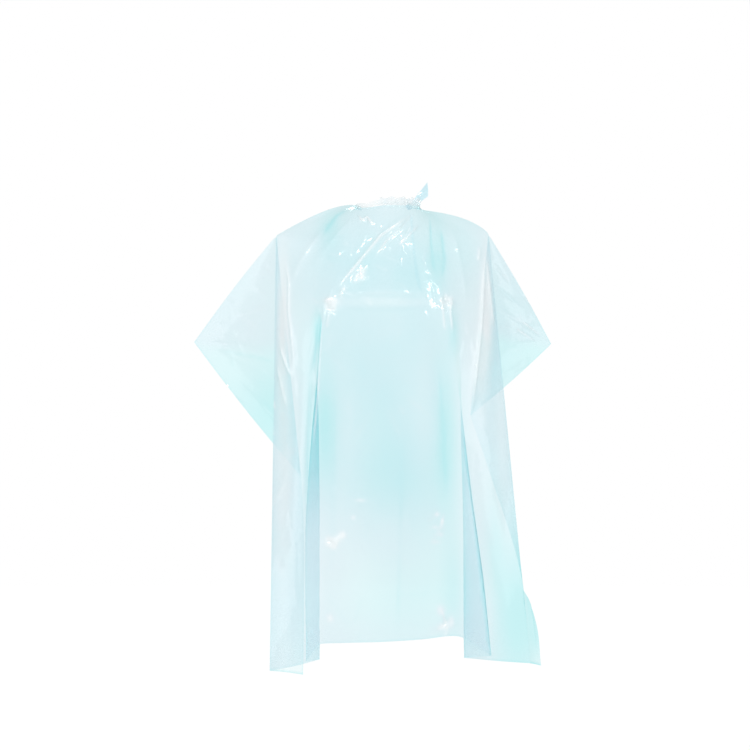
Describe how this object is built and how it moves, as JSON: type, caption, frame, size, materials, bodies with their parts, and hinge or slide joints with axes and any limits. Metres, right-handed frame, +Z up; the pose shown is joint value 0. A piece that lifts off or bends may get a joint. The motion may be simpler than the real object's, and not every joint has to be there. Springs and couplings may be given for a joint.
{
  "type": "hairdressing cape",
  "caption": "Disposable clear film barber cape hung from a gathered, tied neckline, with creased side pleats, folded-back side edges and two corner wings over the shoulders.",
  "frame": {"origin": "middle of the neck opening, in the plane of the gathered neckline", "axes": "+Z up the wearer's neck, -Y towards the wearer's front, +X to the wearer's left"},
  "size_m": [0.695, 0.2591, 0.9212],
  "materials": {
    "cape_film": "thin clear cyan polyethylene film, glossy, with fine wrinkles",
    "tie_film": "folded cyan polyethylene film strip"
  },
  "bodies": {
    "front": {"neck_casing": "cape_film", "neck_tie": "tie_film", "tie_knot": "tie_film", "left_yoke_panel": "cape_film", "front_yoke_panel": "cape_film", "right_yoke_panel": "cape_film", "chest_panel": "cape_film", "front_panel": "cape_film", "left_inner_pleat": "cape_film", "left_outer_pleat": "cape_film", "right_inner_pleat": "cape_film", "right_outer_pleat": "cape_film"},
    "left_side": {"left_side_panel": "cape_film"},
    "left_wing": {"left_wing_upper": "cape_film", "left_wing_lower": "cape_film"},
    "right_side": {"right_side_panel": "cape_film"},
    "right_wing": {"right_wing_upper": "cape_film", "right_wing_lower": "cape_film"},
    "short_tail": {"short_tie_tail": "tie_film"},
    "long_tail": {"long_tie_tail": "tie_film"}
  },
  "joints": [
    {"name": "left_crease_hinge", "type": "hinge", "parent": "front", "child": "left_side", "pos_m": [-0.213, 0, -0.065], "axis": [0.0109, 0.103, 0.9946], "range_deg": [-8, 70]},
    {"name": "left_wing_hinge", "type": "hinge", "parent": "left_side", "child": "left_wing", "pos_m": [-0.213, 0, -0.065], "axis": [0.1044, -0.0218, -0.9943], "range_deg": [-15, 60]},
    {"name": "right_crease_hinge", "type": "hinge", "parent": "front", "child": "right_side", "pos_m": [0.196, 0, -0.065], "axis": [0.0915, -0.1037, -0.9904], "range_deg": [-8, 70]},
    {"name": "right_wing_hinge", "type": "hinge", "parent": "right_side", "child": "right_wing", "pos_m": [0.196, 0, -0.065], "axis": [0.1052, 0.0292, 0.994], "range_deg": [-15, 60]},
    {"name": "short_tail_hinge", "type": "hinge", "parent": "front", "child": "short_tail", "pos_m": [0.04654, 0.0482, 0], "axis": [-0.6607, 0.638, 0.3954], "range_deg": [-25, 35]},
    {"name": "long_tail_hinge", "type": "hinge", "parent": "front", "child": "long_tail", "pos_m": [0.04654, 0.0482, 0], "axis": [0.7134, -0.6889, -0.128], "range_deg": [-35, 35]}
  ]
}
